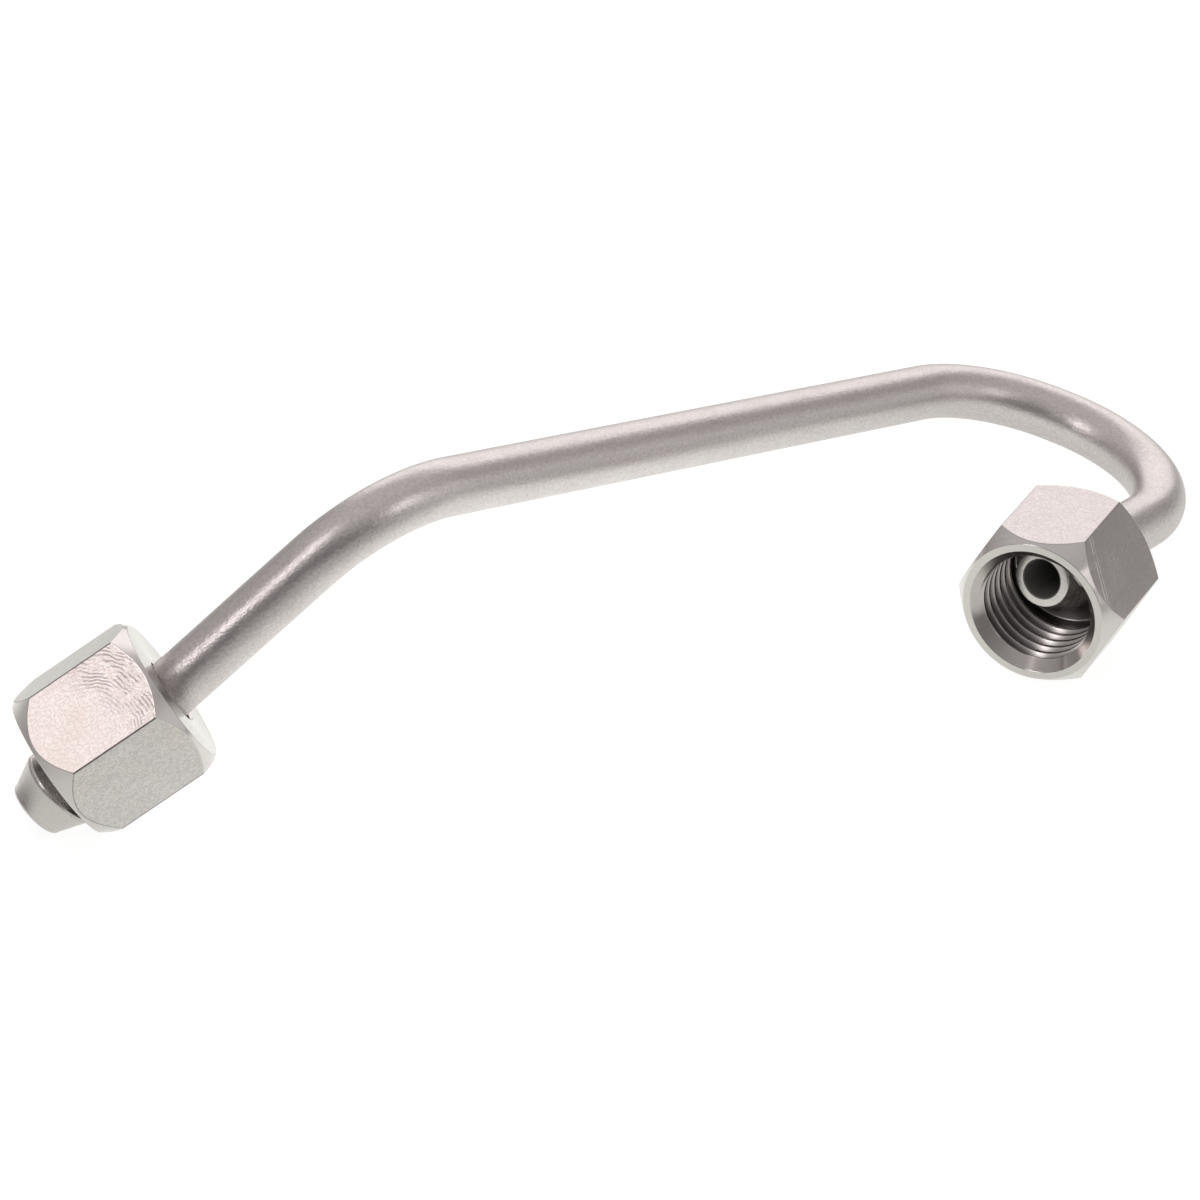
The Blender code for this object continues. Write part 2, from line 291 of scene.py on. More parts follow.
def lying(points):
    """Points turned about X by the roll, then about Y by the climb, then about Z by the heading."""
    for axis, degrees in (((1, 0, 0), LIE_ROLL), ((0, 1, 0), -LIE_CLIMB), ((0, 0, 1), LIE_HEADING)):
        axis = np.array(axis, float)
        points = turned(points, axis, np.radians(degrees))
    return points


def tube_surface(distance, radius, around):
    """The point centre + radius * (side cos t + upper sin t) of every ring and angle t, laid down."""
    centre, side, upper = along_route(distance[:, 0])
    spoke = side[:, None] * np.cos(around)[..., None] + upper[:, None] * np.sin(around)[..., None]
    return lying(centre[:, None] + spoke * radius[..., None])


distance, radius = stations[:, :1], stations[:, 1:]
around = np.linspace(0, 2 * np.pi, TUBE_COLUMNS + 1)[None, :]
tube_points = tube_surface(distance, radius, around)
low, high = (np.array(corner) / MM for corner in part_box("feed_tube"))
tube_points = tube_points + high - tube_points.max((0, 1))
straightened = (distance, radius * np.cos(around), radius * np.sin(around))
straightened = np.stack(np.broadcast_arrays(*straightened), axis=-1)
unrolled = (around / (2 * np.pi), distance / TUBE_LENGTH)
unrolled = np.stack(np.broadcast_arrays(*unrolled), axis=-1)
outer_rings = len(left_head) + len(middle) + len(right_head)
ring_number = np.arange(len(stations))
on_head = (ring_number < len(left_head)) | (ring_number >= len(left_head) + len(middle))
in_bore = (ring_number < len(bore_lip) - 1) | (ring_number >= outer_rings - len(bore_lip))
tube_zones = np.where(in_bore, BORE_SKIN, np.where(on_head, HEAD_SKIN, TUBE_SKIN))
tube = grid_skin("bent_tube", tube_points, unrolled, straightened, tube_zones)
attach(tube, "tube")
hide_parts("feed_tube")
print("low corner against the solid's, mm:", np.round(tube_points.min((0, 1)) - low, 3))

# %% [markdown]
# ## The union nuts
#
# A union nut is cut from hexagon bar: a lathe chamfers both ends to a cone, so that each flat
# meets it in a shallow arch, bores it, cuts the thread inside and countersinks the mouth. Booleans
# could do the same steps. Here the nut is one grid instead: its columns run round it, closer
# together at the corners, and its rows follow the profile from the mouth over the outside to the
# back and home through the hole, the seat and the thread.

# %% The hexagon's columns
FLAT_RADIUS = 8.5
CORNER_ROUND = 0.16
FLAT_POINTS = 33
FLAT_MARGIN = 0.1
ARC_DEGREES = (12, 24, 36, 48)


def hexagon_columns():
    """Angle, radius and corner value of each column round a hexagon with rounded corners.

    Across a flat the point is (flat radius, y). A corner is an arc of radius p about the point that
    lies at (flat radius - p) / cos(30) towards it. The corner value is the weight of a painted shade
    that darkens the colour there: 1 on the corner's arc and 0 on the flats.
    """
    half = (FLAT_RADIUS - CORNER_ROUND) * np.tan(np.pi / 6)
    inner = np.linspace(-half + FLAT_MARGIN, half - FLAT_MARGIN, FLAT_POINTS)
    y = np.concatenate([[-half, -half + GUARD], inner, [half - GUARD, half]])
    flat = FLAT_RADIUS + 1j * y
    corner_centre = (FLAT_RADIUS - CORNER_ROUND) / np.cos(np.pi / 6) * np.exp(1j * np.pi / 6)
    arc = corner_centre + CORNER_ROUND * np.exp(1j * np.radians(ARC_DEGREES))
    sector = np.concatenate([flat, arc])
    sixths = sector[None, :] * np.exp(1j * np.pi / 3 * np.arange(6))[:, None]
    ring = np.append(sixths.reshape(-1), sector[0])
    on_corner = np.zeros(len(sector))
    on_corner[[0, -5, -4, -3, -2, -1]] = 1
    return np.unwrap(np.angle(ring)), np.abs(ring), np.append(np.tile(on_corner, 6), 1)


turn, hex_radius, corner_line = hexagon_columns()
print(len(turn) - 1, "columns round the nut")

# %% [markdown]
# The thread is the hard part. Its ridge is a helix, and a grid with level rows would show it as
# steps. So inside the thread the rows climb with the helix, by one pitch in each turn: every row stays
# on its own line of the thread's profile, and after a full turn it meets the row one pitch further on.
# At both ends of the thread the rows are held level, which gathers them into one level row.

# %% The thread
CREST_RADIUS = 6.188
ROOT_RADIUS = 7.0
PITCH = 1.5
THREAD_END = 9.85
THREAD_LAST = 9.75
RELIEF_RADIUS = 7.15
THREAD_START = 0.3
SINK_RADIUS = 7.4
SINK_DEPTH = 1.2
THREAD_EDGE = 0.045
THREAD_GUARD = 0.02
LEAD_START = 0.8
LEAD_SLOPE = 1.2
crest_width, root_width = 1 / 4, 1 / 8
flank_width = (1 - crest_width - root_width) / 2
ridge = np.array([
    (0.0, CREST_RADIUS),
    (crest_width, CREST_RADIUS),
    (crest_width + flank_width, ROOT_RADIUS),
    (crest_width + flank_width + root_width, ROOT_RADIUS),
])


def ridge_profile():
    """One pitch of the thread as (share of the pitch, radius), its four corners rounded."""
    wide = np.concatenate([ridge - (1, 0), ridge, ridge + (1, 0)])
    lengths = np.array([PITCH, 1.0])
    soft = rounded(wide * lengths, THREAD_EDGE * PITCH, THREAD_GUARD) / lengths
    return soft[20:40]


thread_phase, thread_radius = ridge_profile().T


def thread_at(height, angle):
    """The thread's radius: its profile at the share height / pitch - angle / full turn, right-handed."""
    share = height / PITCH - (angle - turn[0]) / (2 * np.pi)
    first = thread_phase[0]
    phases = np.append(thread_phase, first + 1)
    radii = np.append(thread_radius, thread_radius[0])
    return np.interp((share - first) % 1 + first, phases, radii)


print("the ridge stands", round(ROOT_RADIUS - CREST_RADIUS, 3), "mm high")

# %% [markdown]
# The bore isn't thread from end to end. The countersink opens the mouth, the tap's own taper lets the
# groove grow from nothing, and a short cone runs the last ridge out into the relief groove. Each is one
# more radius for every height, and the deepest cut wins, as it does on the lathe.

# %% Rows of the thread
def countersink_at(height):
    """The countersink's radius, which narrows in a straight line from the mouth to its depth."""
    return SINK_RADIUS - (SINK_RADIUS - CREST_RADIUS) * height / SINK_DEPTH


def run_out_at(height):
    """The run-out's radius: a cone that narrows from the relief groove towards the mouth."""
    return RELIEF_RADIUS - LEAD_SLOPE * (THREAD_END - height)


def thread_rows():
    """Rows of (height, radius) from the thread's inner end to the mouth, each climbing one pitch a turn.

    The radius is max(min(thread, lead), countersink, run-out). The lead is the tap's own taper: the
    groove starts at LEAD_START with no depth, so it doesn't break out through the countersink. The
    run-out is a cone that opens the last ridge into the relief groove.
    """
    pitches = np.arange(np.floor(THREAD_START / PITCH) - 2, np.ceil(THREAD_END / PITCH) + 1)
    lines = ((pitches[:, None] + thread_phase) * PITCH).reshape(-1)
    climb = PITCH * (turn - turn[0]) / (2 * np.pi)
    height = np.clip(lines[::-1, None] + climb[None, :], THREAD_START, THREAD_LAST)
    useful = (height.min(1) < THREAD_LAST) & (height.max(1) > THREAD_START)
    ends = np.ones((1, len(turn)))
    height = np.concatenate([THREAD_LAST * ends, height[useful], THREAD_START * ends])
    lead = CREST_RADIUS + LEAD_SLOPE * (height - LEAD_START)
    cut = np.minimum(thread_at(height, turn[None, :]), lead)
    cut = np.maximum(np.maximum(cut, countersink_at(height)), run_out_at(height))
    return np.stack([height, cut], axis=-1)


thread = thread_rows()
print(len(thread), "rows in the thread")

# %% [markdown]
# The rest of the nut is a ring of corners: mouth face, mouth cone, flat, back cone, back face, hole,
# the 45 degree seat that bears on the head's shoulder, and the relief groove where the threading tool
# ran out. Only the two corners on the flats change from column to column, with the hexagon's radius.
# The rows from one corner to the next share a finish: flats, turned cones, thread or faced ends.

# %% The nut's profile
NUT_LENGTH = 14.69
MOUTH_RADIUS = 8.25
BACK_RADIUS = 8.15
HOLE_RADIUS = 3.665
HOLE_CHAMFER = 0.3
SEAT_START = 10.55
SEAT_END = 13.073
MOUTH_SLOPE = np.tan(np.radians(30))
BACK_SLOPE = np.tan(np.radians(45))
FLATS, CONES, THREAD, FACES = 0, 1, 2, 3
CORNER_ZONES = [FACES, CONES, FLATS, CONES, FACES, CONES, THREAD, THREAD, THREAD, THREAD, THREAD]
# the mouth's arch rows, and the weight of the painted shade that darkens their colour
MOUTH_ARCH_ROWS = (11, 12, 13)
MOUTH_ARCH_SHADE = 0.6


def nut_corners():
    """The corners of the profile in every column, as (corners, columns, (height, radius))."""
    level = np.ones_like(turn)
    corners = [
        (0 * level, SINK_RADIUS * level),
        (0 * level, MOUTH_RADIUS * level),
        ((hex_radius - MOUTH_RADIUS) / MOUTH_SLOPE, hex_radius),
        (NUT_LENGTH - (hex_radius - BACK_RADIUS) / BACK_SLOPE, hex_radius),
        (NUT_LENGTH * level, BACK_RADIUS * level),
        (NUT_LENGTH * level, (HOLE_RADIUS + HOLE_CHAMFER) * level),
        ((NUT_LENGTH - HOLE_CHAMFER) * level, HOLE_RADIUS * level),
        (SEAT_END * level, HOLE_RADIUS * level),
        (SEAT_START * level, CREST_RADIUS * level),
        (SEAT_START * level, RELIEF_RADIUS * level),
        (THREAD_END * level, RELIEF_RADIUS * level),
        (THREAD_LAST * level, run_out_at(THREAD_LAST) * level),
        (THREAD_START * level, countersink_at(THREAD_START) * level),
    ]
    return np.stack([np.stack(pair, axis=-1) for pair in corners])


row_zones = np.repeat(CORNER_ZONES, 5)
soft_corners = rounded(nut_corners())
nut_profile = np.concatenate([soft_corners[:len(row_zones)], thread, soft_corners[:1]])
row_zones = np.append(row_zones, np.full(len(thread) + 1, THREAD))
mouth_arch = np.isin(np.arange(len(nut_profile)), MOUTH_ARCH_ROWS)
print(len(nut_profile), "rows in the nut")

# %% [markdown]
# Each nut hangs tipped on its leg. The frame's record gives the line it turns about, from the mouth to
# the back, a point of its mouth face, and the way one of its flats faces. Those three place the
# finished grid, so the nut turns about the very axis that its joint has.

# %% Placing and making the nuts
MOUNTS = {mount["name"]: mount for mount in frame["record"]["mounts"]}
JOINTS = {joint["name"]: joint for joint in frame["joints"]}


def nut_axes(side_name):
    """The nut's mouth centre in millimetres, and the unit ways of its flat, its side and its axis."""
    joint = JOINTS[side_name + "_nut_turn"]
    axis = unit(np.array(joint["axis"], float))
    pivot = np.array(joint["pos_m"], float)
    mouth = np.array(MOUNTS[side_name + "_nut_mouth"]["pos_m"], float)
    centre = (pivot + axis * np.dot(mouth - pivot, axis)) / MM
    facing = np.array(MOUNTS[side_name + "_nut_flat"]["axis"], float)
    facing = unit(facing - axis * np.dot(facing, axis))
    return centre, facing, np.cross(axis, facing), axis


def union_nut(side_name):
    """A nut's skin: centre + radius * (facing cos t + side sin t) + height * axis."""
    centre, facing, side, axis = nut_axes(side_name)
    height, radius = nut_profile[..., 0], nut_profile[..., 1]
    x, y = radius * np.cos(turn), radius * np.sin(turn)
    points = centre + x[..., None] * facing + y[..., None] * side + height[..., None] * axis
    own = np.stack([x, y, height], axis=-1)
    run = np.linspace(0, 1, len(nut_profile))[:, None]
    turning = np.stack(np.broadcast_arrays(turn / (2 * np.pi), run), axis=-1)
    # the weight of the painted shade on the corner lines and the mouth's arches
    corner = np.maximum(corner_line[None, :], MOUTH_ARCH_SHADE * mouth_arch[:, None])
    nut = grid_skin(side_name + "_nut_skin", points, turning, own, row_zones, corner)
    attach(nut, side_name + "_nut")
    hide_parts(side_name + "_union_nut")
    return nut


left_nut = union_nut("left")
right_nut = union_nut("right")

# %% [markdown]
# ## Steel
#
# Stainless steel has no paint: its colour is what it reflects, warmed a little by the metal. So the
# shader is fully metallic, its base colour is the share of light that comes back, and the character is
# in how rough the surface is and how fine marks tilt it. Image textures could carry such marks, but
# noise worked out in each piece's own coordinates has any scale it needs and stays with the piece.

# %% Finish helpers
def steel_finish(name, colour, roughness, anisotropy=0.0):
    """A metallic material. Returns it with its nodes, links and shader, and the piece's own place."""
    material = bpy.data.materials.new(name)
    material.use_nodes = True
    nodes, links = material.node_tree.nodes, material.node_tree.links
    shader = nodes["Principled BSDF"]
    shader.inputs["Base Color"].default_value = (*colour, 1)
    shader.inputs["Metallic"].default_value = 1.0
    shader.inputs["Roughness"].default_value = roughness
    shader.inputs["Anisotropic"].default_value = anisotropy
    shader.inputs["Anisotropic Rotation"].default_value = 0.25
    if anisotropy:
        tangent = nodes.new("ShaderNodeTangent")
        tangent.direction_type = "UV_MAP"
        tangent.uv_map = "turning"
        links.new(tangent.outputs["Tangent"], shader.inputs["Tangent"])
    place = nodes.new("ShaderNodeAttribute")
    place.attribute_name = "own_place"
    return material, nodes, links, shader, place.outputs["Vector"]


def grain(nodes, links, place, stretch, scale, detail=4.0, roughness=0.6):
    """Noise on the piece's own coordinates, each axis multiplied by its stretch."""
    mapping = nodes.new("ShaderNodeMapping")
    mapping.inputs["Scale"].default_value = stretch
    noise = nodes.new("ShaderNodeTexNoise")
    noise.inputs["Scale"].default_value = scale
    noise.inputs["Detail"].default_value = detail
    noise.inputs["Roughness"].default_value = roughness
    links.new(place, mapping.inputs["Vector"])
    links.new(mapping.outputs["Vector"], noise.inputs["Vector"])
    return noise.outputs["Fac"]


def ramp(nodes, links, value, low, high, start=0.3, end=0.7):
    """Map a value from start..end to low..high, clamped."""
    node = nodes.new("ShaderNodeMapRange")
    for name, number in (("From Min", start), ("From Max", end), ("To Min", low), ("To Max", high)):
        node.inputs[name].default_value = number
    links.new(value, node.inputs["Value"])
    return node.outputs["Result"]


def tint(nodes, links, value, dark, light):
    """Mix two colours by a value. Each colour is three numbers or another node's output."""
    mix = nodes.new("ShaderNodeMix")
    mix.data_type = "RGBA"
    for slot, colour in (("A", dark), ("B", light)):
        if isinstance(colour, tuple):
            mix.inputs[slot].default_value = (*colour, 1)
        else:
            links.new(colour, mix.inputs[slot])
    links.new(value, mix.inputs["Factor"])
    return mix.outputs["Result"]


def dents(nodes, links, shader, height, depth, strength=1.0, under=None):
    """Tilt the shading by a height of this depth in metres, on top of another bump if one is given."""
    bump = nodes.new("ShaderNodeBump")
    bump.inputs["Strength"].default_value = strength
    bump.inputs["Distance"].default_value = depth
    links.new(height, bump.inputs["Height"])
    if under is not None:
        links.new(under, bump.inputs["Normal"])
    links.new(bump.outputs["Normal"], shader.inputs["Normal"])
    return bump.outputs["Normal"]


print("a finish can read", [layer.name for layer in left_nut.data.attributes if layer.name[0] != "."])

# %% [markdown]
# The tube is drawn through a die and then pickled. Close up it isn't smooth: the acid leaves a fine
# even grain of about a quarter of a millimetre, which breaks every reflection into small sparks. Over
# that lie faint streaks along the tube's length. A rough shader alone would blur the reflections
# without any sparkle, so the grain is a bump, and it also lightens and darkens the steel a little.
# The bore never meets the light, so its colour is a painted shade: a dark dull grey, not metallic.
# The heads were pressed in a polished die, so their grain is fainter.

# %% Tube steel
def tube_steel():
    """Pickled drawn steel: a fine grain, faint long streaks, and slow changes of tone."""
    material, nodes, links, shader, place = steel_finish("satin_tube_steel", (0.64, 0.605, 0.595), 0.36)
    speck = grain(nodes, links, place, (0.8, 1, 1), 3.6, detail=3, roughness=0.6)
    streaks = grain(nodes, links, place, (0.12, 1, 1), 5.0)
    tone = grain(nodes, links, place, (0.5, 1, 1), 0.5, detail=2)
    marks = tint(nodes, links, ramp(nodes, links, speck, 0, 1), (0.53, 0.495, 0.49), (0.74, 0.70, 0.695))
    colour = tint(nodes, links, ramp(nodes, links, streaks, 0, 0.4), marks, (0.65, 0.615, 0.61))
    links.new(colour, shader.inputs["Base Color"])
    links.new(ramp(nodes, links, tone, 0.28, 0.37), shader.inputs["Roughness"])
    dents(nodes, links, shader, speck, 0.00006, 0.65)
    return material


def bore_steel():
    """The tube's inside: a painted shade, a dark dull grey that scatters light instead of mirroring it."""
    material, nodes, links, shader, place = steel_finish("tube_bore_steel", (0.30, 0.295, 0.29), 0.6)
    shader.inputs["Metallic"].default_value = 0.0
    shader.inputs["Specular IOR Level"].default_value = 0.2
    streaks = grain(nodes, links, place, (0.1, 1, 1), 1.5)
    # painted shade: the bore's dark grey, streaked lengthways
    colour = tint(nodes, links, streaks, (0.24, 0.235, 0.23), (0.36, 0.355, 0.35))
    links.new(colour, shader.inputs["Base Color"])
    return material


def head_steel():
    """The pressed heads: smoother than the tube, with faint rings."""
    material, nodes, links, shader, place = steel_finish("head_steel", (0.62, 0.59, 0.57), 0.27)
    rings = grain(nodes, links, place, (6, 0.4, 0.4), 1.0)
    speck = grain(nodes, links, place, (1, 1, 1), 3.6, detail=3)
    links.new(ramp(nodes, links, rings, 0.22, 0.34), shader.inputs["Roughness"])
    colour = tint(nodes, links, speck, (0.55, 0.525, 0.505), (0.67, 0.64, 0.62))
    links.new(colour, shader.inputs["Base Color"])
    dents(nodes, links, shader, speck, 0.00002, 0.6)
    return material


for finish in (tube_steel(), bore_steel(), head_steel()):
    tube.data.materials.append(finish)
print("the tube's finishes:", [finish.name for finish in tube.data.materials])

# %% [markdown]
# The nut's flats are the bar's own drawn faces. Fine squiggly marks run over them: the lines where a
# noise crosses its own middle value are just such thin wandering lines. Spanners and grips add scores:
# curved ones are the rings of a wave about a far point, and straight ones are the places where a
# distance along the flat passes a level. Both are broken up, or they would look printed.

# %% Marks on the flats
OWN_FLAT = np.radians(60)
ARC_CENTRE = (1.65, 8.86, 5)
SCORE_WAY = (-0.39, 0.225, 1)
FIRST_SCORE = 1.7
SECOND_SCORE = 2.25


def wander(nodes, links, value, width, level=0.5):
    """0 on the thin lines where the value passes the level, rising to 1 at this distance from them."""
    offset = nodes.new("ShaderNodeMath")
    offset.operation = "SUBTRACT"
    offset.inputs[1].default_value = level
    links.new(value, offset.inputs[0])
    size = nodes.new("ShaderNodeMath")
    size.operation = "ABSOLUTE"
    links.new(offset.outputs[0], size.inputs[0])
    return ramp(nodes, links, size.outputs[0], 0, 1, 0, width)


def along(nodes, links, place, way):
    """How far the place lies along this way, as their dot product."""
    toward = nodes.new("ShaderNodeVectorMath")
    toward.operation = "DOT_PRODUCT"
    toward.inputs[1].default_value = way
    links.new(place, toward.inputs[0])
    return toward.outputs["Value"]


def product(nodes, links, first, second):
    """Two values multiplied."""
    times = nodes.new("ShaderNodeMath")
    times.operation = "MULTIPLY"
    links.new(first, times.inputs[0])
    links.new(second, times.inputs[1])
    return times.outputs[0]


def curved_scores(nodes, links, place):
    """Arcs round a point near the flat's edge, on the half towards the nut's back."""
    mapping = nodes.new("ShaderNodeMapping")
    mapping.inputs["Location"].default_value = [-value for value in ARC_CENTRE]
    wave = nodes.new("ShaderNodeTexWave")
    wave.wave_type = "RINGS"
    wave.rings_direction = "SPHERICAL"
    wave.inputs["Scale"].default_value = 0.75
    wave.inputs["Distortion"].default_value = 12
    wave.inputs["Detail"].default_value = 3
    wave.inputs["Detail Scale"].default_value = 0.45
    links.new(place, mapping.inputs["Vector"])
    links.new(mapping.outputs["Vector"], wave.inputs["Vector"])
    arcs = ramp(nodes, links, wave.outputs["Fac"], 1, 0, 0.0, 0.3)
    broken = ramp(nodes, links, grain(nodes, links, place, (1, 1, 1), 0.7, detail=2), 0, 1, 0.4, 0.58)
    back_half = ramp(nodes, links, along(nodes, links, place, (0.35, -0.2, 1)), 0, 1, 8, 11)
    return product(nodes, links, product(nodes, links, arcs, broken), back_half)


def straight_scores(nodes, links, place):
    """Two lines across the flat near the mouth, broken where a slow noise is low."""
    run = along(nodes, links, place, SCORE_WAY)
    first = wander(nodes, links, run, 0.09, FIRST_SCORE)
    second = wander(nodes, links, run, 0.07, SECOND_SCORE)
    lines = ramp(nodes, links, product(nodes, links, first, second), 1, 0, 0, 1)
    broken = grain(nodes, links, place, (1, 1, 1), 0.4, detail=2)
    return product(nodes, links, lines, ramp(nodes, links, broken, 0, 1, 0.4, 0.55))


print("the flat with scores faces", round(np.degrees(OWN_FLAT)), "degrees round the nut")

# %% [markdown]
# No two flats look the same, so one flat of each nut has its own tones and its own scores. The left
# nut's is worn, with curved scratches, and a painted highlight makes it brighter. The right nut's has
# two straight scores, and a painted shade makes it darker. A separate material would do, but how far
# a place lies towards that flat tells it apart too.
# The narrow round between two flats, and the arch where a flat meets the mouth cone, reflect little,
# so a painted shade darkens their colour.

# %% Flats of the nuts
def flat_steel(name, stretch, usual, own, corner_tone, stain_tone, roughness, depth, scores, score_tone):
    """Drawn bar. usual and own are (mark colour, clean colour, share of the relief) of the flats.

    The noise gives both the marks and the relief. Slow blotches and a stain change the tone under
    the marks, and the scores lie over them on the nut's own flat. The own colours also carry painted
    light on that flat: a painted highlight on the left nut and a painted shade on the right one.
    """
    material, nodes, links, shader, place = steel_finish(name, usual[1], roughness)
    noise = grain(nodes, links, place, stretch, 3.0, detail=3, roughness=0.55)
    blotch = grain(nodes, links, place, (1, 1, 1), 0.35, detail=3)
    stain = grain(nodes, links, place, (1, 1, 1.6), 0.16, detail=2)
    toward_own = along(nodes, links, place, (np.cos(OWN_FLAT), np.sin(OWN_FLAT), 0))
    on_own = ramp(nodes, links, toward_own, 0, 1, FLAT_RADIUS - 0.1, FLAT_RADIUS - 0.01)
    # the own flat's colours: worn, and also painted light, brighter on the left nut and darker on the right
    mark, clean = (tint(nodes, links, on_own, usual[part], own[part]) for part in (0, 1))
    ground = tint(nodes, links, ramp(nodes, links, blotch, 0.35, 0), clean, mark)
    ground = tint(nodes, links, ramp(nodes, links, stain, 0, 0.4, 0.5, 0.7), ground, stain_tone)
    face = tint(nodes, links, wander(nodes, links, noise, 0.08), mark, ground)
    scored = product(nodes, links, on_own, scores(nodes, links, place))
    face = tint(nodes, links, scored, face, score_tone)
    # painted shade: the colour darkens to the corner shade tone on the corner lines and mouth arches
    corner = nodes.new("ShaderNodeAttribute")
    corner.attribute_name = "corner"
    links.new(tint(nodes, links, corner.outputs["Fac"], face, corner_tone), shader.inputs["Base Color"])
    links.new(ramp(nodes, links, on_own, roughness - 0.12, roughness, 0, 1), shader.inputs["Roughness"])
    relief = product(nodes, links, noise, ramp(nodes, links, on_own, usual[2], own[2], 0, 1))
    fine = dents(nodes, links, shader, relief, depth, 0.9)
    dents(nodes, links, shader, ramp(nodes, links, scored, 1, 0, 0, 1), depth, 0.5, fine)
    return material

# %% [markdown]
# The nut's ends are turned on a lathe. Their fine rings stretch every reflection across the rings, so
# the shader is anisotropic, and its direction comes from the turning coordinates of the grid. On the
# cones the rings lie one behind the other along the nut, and on the faced ends one round the other.
# The countersink is smooth and the thread's crests are bright. A painted shade darkens its roots,
# and another painted shade darkens one side of it. The ridges shade one another too, but that alone
# would leave it too bright.

# %% Turned ends and thread
# painted shade: the side of the thread that this way points to, and the thread's roots
OIL_WAY = (-0.17, -0.98, 0)
OIL_TONE = (0.12, 0.11, 0.105)
ROOT_TONE = (0.30, 0.28, 0.275)


def turned_steel(name, dark, light, stretch):
    """Lathe-turned metal: reflections stretch across the rings, which are fine in the stretch's way."""
    material, nodes, links, shader, place = steel_finish(name, light, 0.2, 0.7)
    rings = grain(nodes, links, place, stretch, 1.0)
    links.new(ramp(nodes, links, rings, 0.16, 0.26), shader.inputs["Roughness"])
    links.new(tint(nodes, links, rings, dark, light), shader.inputs["Base Color"])
    return material


def thread_steel(name):
    """Cut thread: bright on its crests, with a painted shade towards the roots and on one side.

    sunk is 0 on the countersink and 1 past it, and deep is 0 on the crests and 1 at the roots.
    """
    material, nodes, links, shader, place = steel_finish(name, (0.56, 0.53, 0.515), 0.2, 0.6)
    sunk = ramp(nodes, links, along(nodes, links, place, (0, 0, 1)), 0, 1, 1.0, 1.6)
    cloud = grain(nodes, links, place, (1, 1, 1), 0.8)
    links.new(ramp(nodes, links, sunk, 0.17, 0.3, 0, 1), shader.inputs["Roughness"])
    sink = tint(nodes, links, cloud, (0.42, 0.39, 0.375), (0.54, 0.51, 0.495))
    crest = tint(nodes, links, cloud, (0.74, 0.70, 0.69), (0.92, 0.88, 0.875))
    crest = tint(nodes, links, sunk, sink, crest)
    level = nodes.new("ShaderNodeVectorMath")
    level.operation = "MULTIPLY"
    level.inputs[1].default_value = (1, 1, 0)
    links.new(place, level.inputs[0])
    radius = nodes.new("ShaderNodeVectorMath")
    radius.operation = "LENGTH"
    links.new(level.outputs["Vector"], radius.inputs[0])
    deep = ramp(nodes, links, radius.outputs["Value"], 0, 1, CREST_RADIUS + 0.05, ROOT_RADIUS)
    # painted shade in the thread's roots, past the countersink
    dull = tint(nodes, links, product(nodes, links, deep, sunk), crest, ROOT_TONE)
    # painted shade on one side of the thread
    oily_side = ramp(nodes, links, along(nodes, links, place, OIL_WAY), 0, 0.85, -2, 4.5)
    off_crest = ramp(nodes, links, radius.outputs["Value"], 0.45, 1, CREST_RADIUS, CREST_RADIUS + 0.3)
    oil = product(nodes, links, oily_side, product(nodes, links, off_crest, sunk))
    links.new(tint(nodes, links, oil, dull, OIL_TONE), shader.inputs["Base Color"])
    return material


# the tone of the painted shade on one side of the thread
print("oil darkens the thread to", OIL_TONE)

# %% [markdown]
# The two nuts are the same part with different lives: the left one is scuffed and stained, and the
# right one is nearly clean. So the finish is one recipe with two lists of tones, and each nut gets its
# four materials in the order of its zones: flats, cones, thread and faces. The own tones of each list
# also hold painted light: a painted highlight on the left nut's flat and a painted shade on the right's.

# %% Finishes of the two nuts
WORN = {
    "stretch": (1, 1, 0.7),
    "usual": ((0.56, 0.54, 0.525), (0.75, 0.725, 0.715), 0.3),
    # own flat: worn, and painted brighter by a painted highlight
    "own": ((0.84, 0.73, 0.705), (1.0, 0.955, 0.94), 1.0),
    # painted shade on the corner lines and the mouth's arches
    "corner_tone": (0.20, 0.18, 0.18),
    "stain_tone": (0.80, 0.74, 0.63),
    "roughness": 0.42,
    "depth": 0.00008,
    "scores": curved_scores,
    "score_tone": (0.68, 0.60, 0.59),
}
CLEAN = {
    "stretch": (0.5, 0.5, 1.0),
    "usual": ((0.49, 0.455, 0.45), (0.63, 0.59, 0.58), 1.0),
    # own flat: painted darker by a painted shade
    "own": ((0.44, 0.405, 0.41), (0.51, 0.47, 0.475), 0.4),
    # painted shade on the corner lines and the mouth's arches
    "corner_tone": (0.42, 0.39, 0.39),
    "stain_tone": (0.64, 0.60, 0.60),
    "roughness": 0.30,
    "depth": 0.00004,
    "scores": straight_scores,
    "score_tone": (0.90, 0.86, 0.86),
}
for nut, wear in ((left_nut, WORN), (right_nut, CLEAN)):
    finishes = [
        flat_steel(nut.name + "_flats", **wear),
        turned_steel(nut.name + "_cones", (0.60, 0.57, 0.56), (0.72, 0.69, 0.675), (0.05, 0.05, 8)),
        thread_steel(nut.name + "_thread"),
        turned_steel(nut.name + "_faces", (0.50, 0.485, 0.465), (0.62, 0.60, 0.575), (1.5, 1.5, 0.05)),
    ]
    for finish in finishes:
        nut.data.materials.append(finish)
    print(nut.name, "finishes:", [finish.name for finish in nut.data.materials])

# %% [markdown]
# ## Table, studio, lights and camera
#
# Bright metal shows the room, so the room is half of the finish. The line lies on a white table. Paint
# that the lamps brighten would throw their light back up at the line, so the table's own paint is a mid
# grey that takes the shadow, and a glow that only the camera and mirrors see makes it white.

